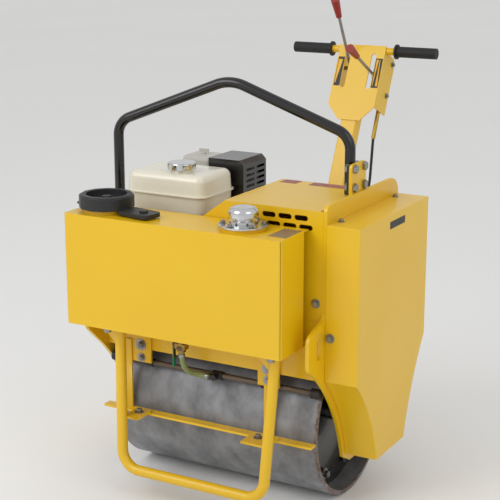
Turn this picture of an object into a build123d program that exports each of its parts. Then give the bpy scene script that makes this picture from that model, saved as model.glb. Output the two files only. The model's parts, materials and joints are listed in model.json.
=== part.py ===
from build123d import *
import math
import os

# Walk-behind single-drum vibratory roller, parked level on its drum and rear stand.
# Millimetres. -Y is the front (water tank), +X the drive-cover side, +Z up.
# The origin lies on the floor under the middle of the drum.

# Drum and its axle
drum_radius = 212.5
drum_half_width = 300
drum_wall = 12
drum_rim_chamfer = 3
disc_recess = 52
disc_thickness = 12
disc_fit = 0.2
hub_radius = 58
hub_length = 46
axle_radius = 25
axle_flange_radius = 70
axle_flange_thickness = 10
bearing_clearance = 0.05
disc_bolt_count = 8
disc_bolt_circle = 166
bolt_head_radius = 9
bolt_head_height = 6.5

# Frame plates
plate_thickness = 10
plate_gap_right = 13
plate_gap_left = 15
frame_front = -214
frame_rear = 214
right_top = 811
left_top = 545
lug_reach = 88
high_lug = (535, 508, 425)
low_lug = (459, 459, 434)
left_rear_lug = (505, 495, 425)
high_slot = (54, 22)
low_slot = (17, 12)
leg_start_reach = 48
leg_start_height = 397
leg_waist_y = 152
leg_waist_height = 266
leg_end_y = 99
leg_end_height = 133
foot_half_width = 58
foot_height = 111
front_corner_radius = 18
rear_corner_radius = 46
lug_radius = 22
low_lug_radius = 10
lug_slot_inset = 54
deck_top = 525
deck_thickness = 10
beam_bottom = 371
front_beam_thickness = 6
rear_beam_thickness = 20
rear_beam_flange = 60

# Drive cover on the right
cover_width = 87
cover_front = -217
cover_rear = 210
cover_top = 765
cover_front_height = 376
cover_rear_height = 393
cover_waist_y = 140
cover_waist_height = 278
cover_foot_y = 88
cover_foot_height = 139
cover_sheet = 3

# Hood over the pump
hood_left = 42
hood_right = 304
hood_rear = 91
hood_top = 796
hood_sheet = 3
hood_slot_length = 36
hood_slot_height = 13
hood_slot_pitch = 43.5
hood_slot_right = 254
hood_slot_row_gap = 22
hood_slot_drop = 21
hood_slot_shift = 13
hood_window_left = 60
hood_window_right = 254
hood_window_bottom = 548
hood_window_top = 738
hood_wing_reach = -80
hood_wing_height = 706
hood_wing_low = 640

# Water tank
tank_left = -340
tank_right = 277
tank_front = -359
tank_rear = -242
tank_flange = 24
tank_bottom = 463
tank_top = 751
tank_sheet = 2
tank_corner = 8
filler_x = -258
filler_y = -286
filler_neck_radius = 56
filler_neck_height = 11
filler_cap_radius = 70
filler_cap_height = 34
filler_strap_end = 163
filler_strap_width = 60
filler_strap_lift = 4
filler_strap_thickness = 10
filler_strap_turn = -10
filler_cap_facets = 12
breather_x = 138
breather_y = -287
breather_neck_radius = 55
breather_neck_height = 8
breather_flange_radius = 61
breather_flange_height = 4
breather_collar_radius = 34
breather_collar_height = 13
breather_stem_radius = 21
breather_dome_radius = 36
breather_dome_low = 22
breather_dome_height = 46

# Front guard tube
guard_tube = 28
guard_wall = 2.6
guard_top_half = 226
guard_low_half = 208
guard_top_y = -286
guard_low_y = -316
guard_low_height = 76
guard_bend = 52
gusset_width = 66
gusset_depth = 66
gusset_thickness = 6
bracket_thickness = 8
bracket_left = (-256, -177)
bracket_right = (141, 201)
bracket_shelf_end = 247
bracket_bottom = 337
bracket_shelf_depth = 108

# Scrapers
scraper_gap = 6
scraper_left = -314
scraper_right = 303
scraper_top = 208
scraper_depth = 26
scraper_sheet = 6
hanger_width = 22
hanger_x = (-245, 173)
hanger_thickness = 5
hanger_top = 397
tab_left = (-212, -168)
tab_right = (137, 210)
tab_thickness = 6

# Sprinkler
pipe_radius = 7.5
pipe_y = -203
pipe_height = 334
pipe_left = -283
pipe_right = 283
pipe_cap_radius = 13
pipe_cap_length = 28
clamp_width = 18
clamp_wall = 3.5
valve_x = -50
valve_y = -272
valve_radius = 11
valve_height = 56
valve_lever_length = 40
hose_radius = 7
tee_x = 16
tee_length = 30
tee_radius = 11
tee_reach = 20

# Lifting arch
arch_tube = 26.9
arch_wall = 3.2
arch_right_x = 288
arch_right_y = -16
arch_left_x = -347
arch_left_y = -99
arch_right_foot = 800
arch_left_foot = 585
arch_corner_height = 946
arch_peak_height = 1071
arch_corner_radius = 52
arch_peak_radius = 105
arch_plate_width = 84
arch_plate_thickness = 8
arch_plate_top = 882
arch_plate_overlap = 95
arch_left_plate_top = 665
arch_ear_thickness = 6
arch_ear_height = 70
arch_bolt_pitch_y = 56
arch_bolt_pitch_z = 46
arch_bolt_radius = 6
arch_nut_across = 19
arch_nut_height = 8

# Engine
crank_y = -73
crank_height = 106
crankcase_left = -215
crankcase_right = -75
crankcase_half_depth = 72
crankcase_top = 706
engine_foot = 14
shroud_radius = 88
shroud_depth = 48
recoil_radius = 84
recoil_depth = 34
fan_wall = 3
shroud_corner = 14
recoil_corner = 18
bore_angle = 20
barrel_size = 78
barrel_end = 150
fin_size = 92
fin_count = 9
fin_thickness = 2.5
head_length = 30
cylinder_x = -150
fuel_left = -299
fuel_right = -62
fuel_front = -144
fuel_rear = 22
fuel_bottom = 720
fuel_seam = 775
fuel_top = 829
fuel_wall = 3
fuel_lip = 6
fuel_corner = 26
fuel_cap_x = -152
fuel_cap_y = -98
fuel_cap_radius = 37
fuel_cap_height = 18
cleaner_left = -262
cleaner_right = -160
cleaner_front = 62
cleaner_rear = 160
cleaner_bottom = 765
cleaner_top = 838
wing_nut_span = 28
guard_left = -150
guard_right = -43
guard_front = 33
guard_rear = 158
guard_bottom = 735
guard_top = 845
guard_bevel = 13
guard_sheet = 2
muffler_gap = 12
bell_radius = 76
pump_length = 140
pump_half = 52
pump_foot_half = 30
pump_foot_inset = 20

# Handle
handle_foot_y = 390.6
handle_foot_height = 424
handle_lean = 25
bar_height = 722.7
bar_radius = 11
bar_half = 227
column_width = 50
column_front = bar_radius
column_back = 29
column_wall = 4
column_foot = 24
column_top = bar_height - 122
head_low = bar_height - 223
head_shoulder = bar_height - 178
head_high = bar_height + 11
head_flange_top = bar_height - 3
head_width = 150
head_low_width = 70
head_flange_reach = 72
head_sheet = 4
head_slot_x = 42
head_slot_length = 110
head_slot_width = 15
head_slot_middle = bar_height - 69
grip_length = 124
grip_radius = 16
grip_flange_radius = 22
grip_wall_end = 4
ear_thickness = 10
ear_reach = 208
ear_height = 76
ear_fit = 0.3
pin_radius = 8

# Levers and cable
lever_radius = 4.5
travel_lever_low = (-head_slot_x, 22, bar_height - 52.5)
travel_lever_high = (-head_slot_x, -127.4, bar_height + 54.5)
throttle_lever_low = (head_slot_x, 22, bar_height - 74)
throttle_lever_high = (head_slot_x, -129, bar_height - 64)
lever_shaft_radius = 6
knob_length = 58
knob_radius = 13
cable_radius = 4
cable_bend = 110
cable_top_bend = 150
sleeve_radius = 6
sleeve_top = (65, 42, bar_height - 158)
sleeve_bottom = (65, 46, bar_height - 258)
cable_route = [
    (65, 628.4, 824.4),
    (64, 612, 690),
    (66, 548, 576),
    (66, 448, 520),
    (68, 345, 496),
    (68, 246, 496),
]
gland_radius = 9

# Rear stand
stand_tube = 26.9
stand_pivot_y = 296
stand_pivot_height = 392
stand_foot_y = 262
stand_half_width = 95
stand_bend = 45
stand_boss_overhang = 1.5
stand_boss_radius = 20
stand_pin_radius = 9
stand_pin_clearance = 0.06
stand_lug_thickness = 10
stand_lug_gap = 1
stand_lug_radius = 24

# Places worked out from the sizes above
axle_height = drum_radius
right_inner = drum_half_width + plate_gap_right
right_outer = right_inner + plate_thickness
left_inner = -drum_half_width - plate_gap_left
left_outer = left_inner - plate_thickness
plane_yz = Plane.YZ
crank_z = deck_top + crank_height
os.makedirs("parts", exist_ok=True)


def save(shape, name):
    export_step(shape, f"parts/{name}.step")


def block(x0, x1, y0, y1, z0, z1):
    size = Box(abs(x1 - x0), abs(y1 - y0), abs(z1 - z0))
    return Pos((x0 + x1) / 2, (y0 + y1) / 2, (z0 + z1) / 2) * size


def rod_x(x0, x1, y, z, radius):
    return Pos((x0 + x1) / 2, y, z) * Rot(0, 90, 0) * Cylinder(radius, abs(x1 - x0))


def rod_y(y0, y1, x, z, radius):
    return Pos(x, (y0 + y1) / 2, z) * Rot(90, 0, 0) * Cylinder(radius, abs(y1 - y0))


def rod_z(z0, z1, x, y, radius):
    return Pos(x, y, (z0 + z1) / 2) * Cylinder(radius, abs(z1 - z0))


def rod_between(start, end, radius, end_radius=None):
    start = Vector(start)
    end = Vector(end)
    along = end - start
    foot = Plane(origin=start, z_dir=along)
    if end_radius is None:
        return extrude(foot * Circle(radius), along.length)
    tip = Plane(origin=end, z_dir=along)
    return loft([foot * Circle(radius), tip * Circle(end_radius)])


def tube_along(path, radius):
    section = Plane(origin=path @ 0, z_dir=path % 0) * Circle(radius)
    return sweep(section, path)


def side_prism(face, x0, x1):
    return extrude(Pos(min(x0, x1), 0, 0) * (plane_yz * face), abs(x1 - x0), dir=(1, 0, 0))


# Drum


def drum_shell():
    outer = rod_x(-drum_half_width, drum_half_width, 0, axle_height, drum_radius)
    rims = outer.edges().filter_by(GeomType.CIRCLE)
    outer = chamfer(rims, drum_rim_chamfer)
    inner = rod_x(-drum_half_width, drum_half_width, 0, axle_height, drum_radius - drum_wall)
    return outer - inner


def drum_disc(side):
    face = side * (drum_half_width - disc_recess)
    back = face - side * disc_thickness
    disc = rod_x(back, face, 0, axle_height, drum_radius - drum_wall - disc_fit)
    disc += rod_x(back - side * (hub_length - disc_thickness), face, 0, axle_height, hub_radius)
    for number in range(disc_bolt_count):
        turn = math.radians(360 * (number + 0.5) / disc_bolt_count)
        y = disc_bolt_circle * math.cos(turn)
        z = axle_height + disc_bolt_circle * math.sin(turn)
        disc += rod_x(face, face + side * bolt_head_height, y, z, bolt_head_radius)
    bore = axle_radius + bearing_clearance
    return disc - rod_x(back - side * hub_length, face + side, 0, axle_height, bore)


def axle(side):
    plate = right_inner if side > 0 else left_inner
    inner_end = side * (drum_half_width - disc_recess - hub_length + 2)
    stub = rod_x(inner_end, plate, 0, axle_height, axle_radius)
    return stub + rod_x(plate - side * axle_flange_thickness, plate, 0, axle_height, axle_flange_radius)


# Frame


def half_outline(side, edge, top, corner_radius, lug, tip_radius):
    root_top, lug_top, lug_bottom = lug
    tip = side * (abs(edge) + lug_reach)
    leg = side * (abs(edge) + leg_start_reach)
    return [
        FilletPolyline(
            (0, top),
            (edge, top),
            (edge, root_top),
            (tip, lug_top),
            (tip, lug_bottom),
            (leg, leg_start_height),
            radius=[corner_radius, tip_radius, tip_radius, tip_radius],
        ),
        ThreePointArc(
            (leg, leg_start_height),
            (side * leg_waist_y, leg_waist_height),
            (side * leg_end_y, leg_end_height),
        ),
        Line((side * leg_end_y, leg_end_height), (side * foot_half_width, foot_height)),
        Line((side * foot_half_width, foot_height), (0, foot_height)),
    ]


def lug_slot(side, edge, lug, size, x0, x1):
    y = side * (abs(edge) + lug_reach - lug_slot_inset)
    z = (lug[1] + lug[2]) / 2
    slot = Pos(y, z) * Rot(0, 0, 90) * SlotOverall(*size)
    return side_prism(slot, x0 - 1, x1 + 1)


def side_plate(x0, x1, top, rear_radius, front_lug, front_slot, front_radius, rear_lug):
    outline = half_outline(-1, frame_front, top, front_corner_radius, front_lug, front_radius)
    outline += half_outline(1, frame_rear, top, rear_radius, rear_lug, lug_radius)
    plate = side_prism(make_face(outline), x0, x1)
    plate -= lug_slot(-1, frame_front, front_lug, front_slot, x0, x1)
    return plate - lug_slot(1, frame_rear, rear_lug, high_slot, x0, x1)


def front_beam():
    inner = frame_front + front_beam_thickness
    return block(left_inner, right_inner, frame_front, inner, beam_bottom, deck_top)


def rear_beam():
    inner = frame_rear - rear_beam_thickness
    web = block(left_inner, right_inner, inner, frame_rear, beam_bottom, deck_top)
    flange_top = beam_bottom + rear_beam_thickness
    flange_front = frame_rear - rear_beam_flange
    return web + block(left_inner, right_inner, flange_front, frame_rear, beam_bottom, flange_top)


def engine_deck():
    front = frame_front + front_beam_thickness
    rear = frame_rear - rear_beam_thickness
    return block(left_inner, right_inner, front, rear, deck_top - deck_thickness, deck_top)


def cover_outline(inset):
    front = cover_front + inset
    rear = cover_rear - inset
    top = cover_top - inset
    front_low = cover_front_height + inset
    rear_low = cover_rear_height + inset
    waist_y = cover_waist_y - inset
    foot_y = cover_foot_y - inset
    foot = cover_foot_height + inset
    return make_face(
        [
            Polyline((front, front_low), (front, top), (rear, top), (rear, rear_low)),
            ThreePointArc((rear, rear_low), (waist_y, cover_waist_height), (foot_y, foot)),
            Line((foot_y, foot), (-foot_y, foot)),
            ThreePointArc((-foot_y, foot), (-waist_y, cover_waist_height), (front, front_low)),
        ]
    )


def drive_cover():
    outer = side_prism(cover_outline(0), right_outer, right_outer + cover_width)
    inner = side_prism(cover_outline(cover_sheet), right_outer, right_outer + cover_width - cover_sheet)
    return outer - inner


def hood():
    shell = block(hood_left, hood_right, frame_front, hood_rear, deck_top, hood_top)
    shell -= block(
        hood_left + hood_sheet,
        hood_right - hood_sheet,
        frame_front + hood_sheet,
        hood_rear - hood_sheet,
        deck_top,
        hood_top - hood_sheet,
    )
    shell -= block(
        hood_window_left,
        hood_window_right,
        frame_front - 1,
        frame_front + hood_sheet + 1,
        hood_window_bottom,
        hood_window_top,
    )
    shell -= rod_x(hood_left - 1, hood_left + hood_sheet + 1, crank_y, crank_z, bell_radius + 6)
    wing = Polyline(
        (hood_left + hood_sheet, hood_top),
        (hood_wing_reach, hood_wing_height),
        (hood_wing_reach, hood_wing_low),
        (hood_left + hood_sheet, hood_wing_low),
        close=True,
    )
    wing = Pos(0, frame_front + hood_sheet, 0) * (Plane.XZ * make_face(wing))
    shell += extrude(wing, hood_sheet, dir=(0, -1, 0))
    shell += block(hood_right, right_inner, frame_front, frame_front + hood_sheet, deck_top, hood_top)
    slot = Rot(90, 0, 0) * extrude(SlotOverall(hood_slot_length, hood_slot_height), 5 * hood_sheet, both=True)
    for row, count in enumerate((3, 4)):
        z = hood_top - hood_slot_drop - row * hood_slot_row_gap
        for number in range(count):
            x = hood_slot_right + row * hood_slot_shift - number * hood_slot_pitch
            shell -= Pos(x, frame_front, z) * slot
    return shell


# Water tank


def water_tank():
    body = block(tank_left, tank_right, tank_front, tank_rear, tank_bottom, tank_top)
    body = fillet(body.edges().filter_by(Axis.Z).group_by(Axis.Y)[0], tank_corner)
    for z in (tank_bottom, tank_top - tank_sheet):
        body += block(tank_left, tank_right, tank_rear, tank_rear + tank_flange, z, z + tank_sheet)
    body -= block(
        tank_left + tank_sheet,
        tank_right - tank_sheet,
        tank_front + tank_sheet,
        tank_rear - tank_sheet,
        tank_bottom + tank_sheet,
        tank_top - tank_sheet,
    )
    body += rod_z(tank_top, tank_top + filler_neck_height, filler_x, filler_y, filler_neck_radius)
    body += rod_z(tank_top, tank_top + breather_neck_height, breather_x, breather_y, breather_neck_radius)
    return body


def filler_cap():
    seat = tank_top + filler_neck_height
    top = seat + filler_cap_height
    ring = Pos(filler_x, filler_y, seat) * extrude(
        RegularPolygon(filler_cap_radius, filler_cap_facets), filler_cap_height
    )
    ring = chamfer(ring.faces().sort_by(Axis.Z)[-1].edges(), 4)
    ring -= rod_z(top - 15, top + 1, filler_x, filler_y, filler_cap_radius - 18)
    ring += rod_z(top - 16, top - 6, filler_x, filler_y, 12)
    reach = filler_cap_radius + 14
    ear = block(filler_x - reach, filler_x, filler_y - 11, filler_y + 11, seat, seat + 6)
    start = filler_neck_radius + 4
    length = filler_strap_end - start
    thickness = filler_strap_thickness
    strap = Pos(start + length / 2, 0, 0) * RectangleRounded(length, filler_strap_width, 14)
    strap = extrude(strap, thickness)
    bolt = start + length * 0.66
    strap += rod_z(-filler_strap_lift, thickness + 5, bolt, 0, 11)
    strap = Pos(filler_x, filler_y, tank_top + filler_strap_lift) * Rot(0, 0, filler_strap_turn) * strap
    ear -= rod_z(seat - 1, seat + 7, filler_x, filler_y, filler_cap_radius - 20)
    return ring + ear + strap


def breather_cap():
    seat = tank_top + breather_neck_height
    cap = rod_z(seat, seat + breather_flange_height, breather_x, breather_y, breather_flange_radius)
    cap += rod_z(seat, seat + breather_collar_height, breather_x, breather_y, breather_collar_radius)
    cap += rod_z(seat, seat + breather_dome_low, breather_x, breather_y, breather_stem_radius)
    dome = rod_z(
        seat + breather_dome_low, seat + breather_dome_height, breather_x, breather_y, breather_dome_radius
    )
    dome = fillet(dome.faces().sort_by(Axis.Z)[-1].edges(), 14)
    return cap + dome


# Front guard and its brackets


def front_guard():
    top = tank_bottom - bracket_thickness
    overshoot = guard_tube / (top - guard_low_height)
    end_x = guard_top_half + overshoot * (guard_top_half - guard_low_half)
    end_y = guard_top_y + overshoot * (guard_top_y - guard_low_y)
    end_z = top + guard_tube
    route = FilletPolyline(
        (-end_x, end_y, end_z),
        (-guard_low_half, guard_low_y, guard_low_height),
        (guard_low_half, guard_low_y, guard_low_height),
        (end_x, end_y, end_z),
        radius=guard_bend,
    )
    guard = tube_along(route, guard_tube / 2)
    for side in (-1, 1):
        outline = Polyline(
            (-gusset_width, 0), (0, 0), (0, -gusset_depth), close=True
        )
        gusset = extrude(Plane.XZ * make_face(outline), gusset_thickness / 2, both=True)
        guard += Pos(side * guard_top_half, guard_top_y, top) * gusset
    for left, right in (tab_left, tab_right):
        rear = -drum_radius - scraper_gap - scraper_depth / 2
        front = guard_low_y + guard_tube / 2
        tab = block(left, right, front, rear, scraper_top, scraper_top + tab_thickness)
        guard += fillet(tab.edges().filter_by(Axis.Z).group_by(Axis.Y)[-1], 9)
    guard -= tube_along(route, guard_tube / 2 - guard_wall)
    return guard - block(-tank_top, tank_top, tank_front, 0, top, top + 3 * guard_tube)


def guard_bracket(side):
    left, right = bracket_right if side > 0 else bracket_left
    front = frame_front - bracket_thickness
    top = tank_bottom
    end = bracket_shelf_end if side > 0 else right
    wall = block(left, right, front, frame_front, bracket_bottom, top)
    shelf = block(left, end, front - bracket_shelf_depth, front, top - bracket_thickness, top)
    return wall + shelf


def scraper(side):
    face = frame_front if side < 0 else frame_rear
    seat = face + side * bracket_thickness
    near = side * (drum_radius + scraper_gap)
    far = near + side * scraper_depth
    low = scraper_top - scraper_sheet
    bar = block(scraper_left, scraper_right, near, far, low, scraper_top)
    for x in hanger_x:
        left = x - hanger_width / 2
        right = x + hanger_width / 2
        bar += block(left, right, seat, seat + side * hanger_thickness, low, hanger_top)
        if side > 0:
            bar += block(left, right, face, seat, beam_bottom, hanger_top)
    return bar


# Sprinkler line


def sprinkler_pipe():
    return rod_x(pipe_left, pipe_right, pipe_y, pipe_height, pipe_radius)


def pipe_caps():
    left = rod_x(pipe_left - pipe_cap_length + 4, pipe_left, pipe_y, pipe_height, pipe_cap_radius)
    right = rod_x(pipe_right, pipe_right + pipe_cap_length - 4, pipe_y, pipe_height, pipe_cap_radius)
    return left + right


def pipe_clamps():
    clamps = None
    face = frame_front
    for x in (bracket_left[1] - 12, bracket_right[0] + 12):
        left = x - clamp_width / 2
        right = x + clamp_width / 2
        clamp = rod_x(left, right, pipe_y, pipe_height, pipe_radius + clamp_wall)
        clamp += block(left, right, face, face + 5, pipe_height, beam_bottom)
        clamp -= rod_x(left - 1, right + 1, pipe_y, pipe_height, pipe_radius)
        clamps = clamp if clamps is None else clamps + clamp
    return clamps


def pipe_fittings():
    return pipe_caps() + pipe_clamps() + pipe_tee()


def drain_valve():
    low = tank_bottom - valve_height
    valve = rod_z(low, tank_bottom, valve_x, valve_y, valve_radius)
    valve += block(
        valve_x - valve_radius - 4, valve_x + valve_radius + 4, valve_y - 10, valve_y + 10, low + 8, low + 22
    )
    spindle = valve_x - valve_radius - 10
    valve += rod_x(spindle, valve_x, valve_y, low + 15, 4)
    lever = block(spindle - 3, spindle, valve_y - 6, valve_y + 6, low + 21 - valve_lever_length, low + 21)
    return valve + lever


def sprinkler_hose():
    start = (valve_x, valve_y, tank_bottom - valve_height)
    end = (tee_x - hose_radius - 6, pipe_y - tee_reach, pipe_height)
    middle = (valve_x + 7, valve_y + 14, pipe_height + 20)
    return tube_along(Spline(start, middle, end, tangents=[(0, 0, -1), (1, 0, 0)]), hose_radius)


def pipe_tee():
    tee = rod_x(tee_x - tee_length / 2, tee_x + tee_length / 2, pipe_y, pipe_height, tee_radius)
    outlet = pipe_y - tee_reach
    tee += rod_y(outlet - hose_radius, pipe_y, tee_x, pipe_height, hose_radius + 1)
    tee += rod_x(tee_x - hose_radius - 6, tee_x, outlet, pipe_height, hose_radius + 1)
    return tee - rod_x(tee_x - tee_length, tee_x + tee_length, pipe_y, pipe_height, pipe_radius)


# Lifting arch


def arch_point(share, height):
    x = arch_left_x + (arch_right_x - arch_left_x) * share
    y = arch_left_y + (arch_right_y - arch_left_y) * share
    return (x, y, height)


def arch_bolt_holes():
    holes = None
    for y, top, x in (
        (arch_right_y, arch_plate_top, right_inner - arch_plate_thickness),
        (arch_left_y, arch_left_plate_top, left_outer - arch_plate_thickness),
    ):
        for dy in (-1, 1):
            for dz in (-1, 1):
                by = y + dy * arch_bolt_pitch_y / 2
                bz = top - arch_ear_height / 2 + dz * arch_bolt_pitch_z / 2
                hole = rod_x(x - 2 * arch_ear_thickness, x + 1, by, bz, arch_bolt_radius)
                holes = hole if holes is None else holes + hole
    return holes


def arch_ear(plate_face, away, y, top):
    far = plate_face + away * arch_ear_thickness
    half = arch_plate_width / 2
    return block(plate_face, far, y - half, y + half, top - arch_ear_height, top - 4)


def lifting_arch():
    route = FilletPolyline(
        arch_point(0, arch_left_foot),
        arch_point(0, arch_corner_height),
        arch_point(0.5, arch_peak_height),
        arch_point(1, arch_corner_height),
        arch_point(1, arch_right_foot),
        radius=[arch_corner_radius, arch_peak_radius, arch_corner_radius],
    )
    arch = tube_along(route, arch_tube / 2)
    arch += arch_ear(right_inner - arch_plate_thickness, -1, arch_right_y, arch_plate_top)
    arch += arch_ear(left_outer - arch_plate_thickness, -1, arch_left_y, arch_left_plate_top)
    return arch - tube_along(route, arch_tube / 2 - arch_wall) - arch_bolt_holes()


def arch_bracket(inner, outer, y, low, top):
    half = arch_plate_width / 2
    plate = block(inner, outer, y - half, y + half, low, top)
    for dy in (-1, 1):
        for dz in (-1, 1):
            by = y + dy * arch_bolt_pitch_y / 2
            bz = top - arch_ear_height / 2 + dz * arch_bolt_pitch_z / 2
            plate -= rod_x(inner - 1, outer + 1, by, bz, arch_bolt_radius)
    return fillet(plate.edges().filter_by(Axis.X).group_by(Axis.Z)[-1], 10)


def arch_bracket_right():
    low = right_top - arch_plate_overlap
    return arch_bracket(right_inner - arch_plate_thickness, right_inner, arch_right_y, low, arch_plate_top)


def arch_bracket_left():
    low = beam_bottom + 70
    return arch_bracket(left_outer - arch_plate_thickness, left_outer, arch_left_y, low, arch_left_plate_top)


def nut_x(x0, x1, y, z):
    hexagon = RegularPolygon(arch_nut_across / 2, 6, major_radius=False)
    return Pos((x0 + x1) / 2, y, z) * Rot(0, 90, 0) * extrude(hexagon, abs(x1 - x0) / 2, both=True)


def arch_bolts():
    bolts = None
    seats = (
        (right_inner, arch_right_y, arch_plate_top),
        (left_outer, arch_left_y, arch_left_plate_top),
    )
    for right, y, top in seats:
        left = right - arch_plate_thickness - arch_ear_thickness
        for dy in (-1, 1):
            for dz in (-1, 1):
                by = y + dy * arch_bolt_pitch_y / 2
                bz = top - arch_ear_height / 2 + dz * arch_bolt_pitch_z / 2
                bolt = nut_x(left - arch_nut_height, left, by, bz)
                bolt += nut_x(right, right + arch_nut_height, by, bz)
                bolt += rod_x(left - arch_nut_height, right + arch_nut_height, by, bz, arch_bolt_radius)
                bolts = bolt if bolts is None else bolts + bolt
    return bolts


# Engine


def engine_crankcase():
    front = crank_y - crankcase_half_depth
    rear = crank_y + crankcase_half_depth
    case = block(crankcase_left, crankcase_right, front, rear, deck_top + engine_foot, crankcase_top)
    case = fillet(case.edges().filter_by(Axis.X), 24)
    case += block(
        crankcase_left + 20, crankcase_right - 10, front - 8, rear + 8, deck_top, deck_top + engine_foot + 20
    )
    case += rod_x(crankcase_right - 8, crankcase_right, crank_y, crank_z, bell_radius - 8)
    for x in (crankcase_left + 25, crankcase_right - 25):
        for y in (front + 35, rear - 35):
            case += block(x - 9, x + 9, y - 9, y + 9, crankcase_top - 10, fuel_bottom)
    return case


def bore_plane(distance):
    turn = math.radians(bore_angle)
    along = Vector(0, math.cos(turn), math.sin(turn))
    origin = Vector(cylinder_x, crank_y, crank_z) + along * distance
    return Plane(origin=origin, x_dir=(1, 0, 0), z_dir=along)


def cylinder_head():
    face = bore_plane(barrel_end) * RectangleRounded(barrel_size + 8, barrel_size + 4, 12)
    return extrude(face, head_length)


def engine_cylinder():
    start = crankcase_half_depth
    barrel = extrude(bore_plane(start) * Rectangle(barrel_size, barrel_size), barrel_end - start)
    pitch = (barrel_end - start) / fin_count
    for number in range(fin_count):
        foot = bore_plane(start + pitch * (number + 0.5))
        fin = foot * RectangleRounded(fin_size, fin_size, 8)
        barrel += extrude(fin, fin_thickness)
    rear = crank_y + crankcase_half_depth
    barrel -= block(crankcase_left, crankcase_right, frame_front, rear, deck_top, fuel_bottom)
    return barrel + cylinder_head()


def crank_drum(x0, x1, radius, corner):
    drum = rod_x(x0, x1, crank_y, crank_z, radius)
    return fillet(drum.faces().sort_by(Axis.X)[0].edges(), corner)


def recoil_starter():
    back = crankcase_left - shroud_depth
    face = back - recoil_depth
    deep = back + shroud_corner
    shell = crank_drum(back, crankcase_left, shroud_radius, shroud_corner)
    shell += crank_drum(face, deep, recoil_radius, recoil_corner)
    wall = fan_wall
    shell -= crank_drum(back + wall, crankcase_left, shroud_radius - wall, shroud_corner - wall)
    shell -= crank_drum(face + wall, deep, recoil_radius - wall, recoil_corner - wall)
    slot = Pos(0, recoil_radius * 0.6, 0) * Box(4 * wall, 34, 9)
    for number in range(12):
        shell -= Pos(face, crank_y, crank_z) * Rot(30 * number, 0, 0) * slot
    return shell


def fuel_half(z, height, inset, corner):
    plan = RectangleRounded(
        fuel_right - fuel_left - 2 * inset, fuel_rear - fuel_front - 2 * inset, fuel_corner - inset
    )
    middle = ((fuel_left + fuel_right) / 2, (fuel_front + fuel_rear) / 2, z)
    half = extrude(Pos(*middle) * plan, height, taper=4)
    end = half.faces().sort_by(Axis.Z)[-1 if height > 0 else 0]
    return fillet(end.edges(), corner)


def fuel_tank():
    upper = fuel_half(fuel_seam, fuel_top - fuel_seam, 0, 20)
    lower = fuel_half(fuel_seam, fuel_bottom - fuel_seam, 0, 14)
    lip_plan = RectangleRounded(
        fuel_right - fuel_left + 2 * fuel_lip, fuel_rear - fuel_front + 2 * fuel_lip, fuel_corner + fuel_lip
    )
    middle = ((fuel_left + fuel_right) / 2, (fuel_front + fuel_rear) / 2, fuel_seam)
    tank = upper + lower + extrude(Pos(*middle) * lip_plan, 1.5, both=True)
    tank += rod_z(fuel_top - 2, fuel_top + 8, fuel_cap_x, fuel_cap_y, fuel_cap_radius - 7)
    tank -= fuel_half(fuel_seam, fuel_top - fuel_seam - fuel_wall, fuel_wall, 18)
    return tank - fuel_half(fuel_seam, fuel_bottom - fuel_seam + fuel_wall, fuel_wall, 12)


def fuel_cap():
    low = fuel_top + 8
    cap = rod_z(low, low + fuel_cap_height, fuel_cap_x, fuel_cap_y, fuel_cap_radius)
    cap = fillet(cap.faces().sort_by(Axis.Z)[-1].edges(), 4)
    for number in range(8):
        turn = math.radians(45 * number)
        x = fuel_cap_x + (fuel_cap_radius + 5) * math.cos(turn)
        y = fuel_cap_y + (fuel_cap_radius + 5) * math.sin(turn)
        cap -= rod_z(low - 1, low + fuel_cap_height - 5, x, y, 8)
    return cap


def air_cleaner():
    plan = RectangleRounded(cleaner_right - cleaner_left, cleaner_rear - cleaner_front, 20)
    middle = ((cleaner_left + cleaner_right) / 2, (cleaner_front + cleaner_rear) / 2, cleaner_bottom)
    cover = extrude(Pos(*middle) * plan, cleaner_top - cleaner_bottom, taper=3)
    cover = fillet(cover.faces().sort_by(Axis.Z)[-1].edges(), 14)
    x, y, _ = middle
    cover += rod_z(cleaner_top - 3, cleaner_top + 8, x, y, 5)
    half = wing_nut_span / 2
    return cover + block(x - half, x + half, y - 2.5, y + 2.5, cleaner_top + 4, cleaner_top + 14)


def carburettor():
    y = cleaner_front + 30
    x = cleaner_left + 30
    body = block(x - 18, x + 18, y - 22, y + 22, crank_z + 52, crank_z + 96)
    body += rod_z(crank_z + 30, crank_z + 54, x, y, 20)
    body += rod_z(crank_z + 94, cleaner_bottom, x, y, 16)
    return body + rod_x(x, cylinder_x - barrel_size / 2 - 4, y, crank_z + 70, 15)


def muffler_guard():
    top = block(guard_left, guard_right, guard_front, guard_rear, guard_bottom, guard_top)
    bevels = top.edges().filter_by(Axis.Y).group_by(Axis.Z)[-1].sort_by(Axis.X)[-1]
    shell = chamfer(bevels, guard_bevel)
    inner = block(
        guard_left + guard_sheet,
        guard_right - guard_sheet,
        guard_front + guard_sheet,
        guard_rear - guard_sheet,
        guard_bottom,
        guard_top - guard_sheet,
    )
    inner_edge = inner.edges().filter_by(Axis.Y).group_by(Axis.Z)[-1].sort_by(Axis.X)[-1]
    shell -= chamfer(inner_edge, guard_bevel)
    slot = Rot(0, 90, 0) * extrude(Rot(0, 0, 90) * SlotOverall(44, 7), 10, both=True)
    for column in range(2):
        for row in range(5):
            y = guard_front + 38 + 56 * column
            z = guard_top - guard_bevel - 14 - 15 * row
            shell -= Pos(guard_right, y, z) * slot
    return shell


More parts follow.
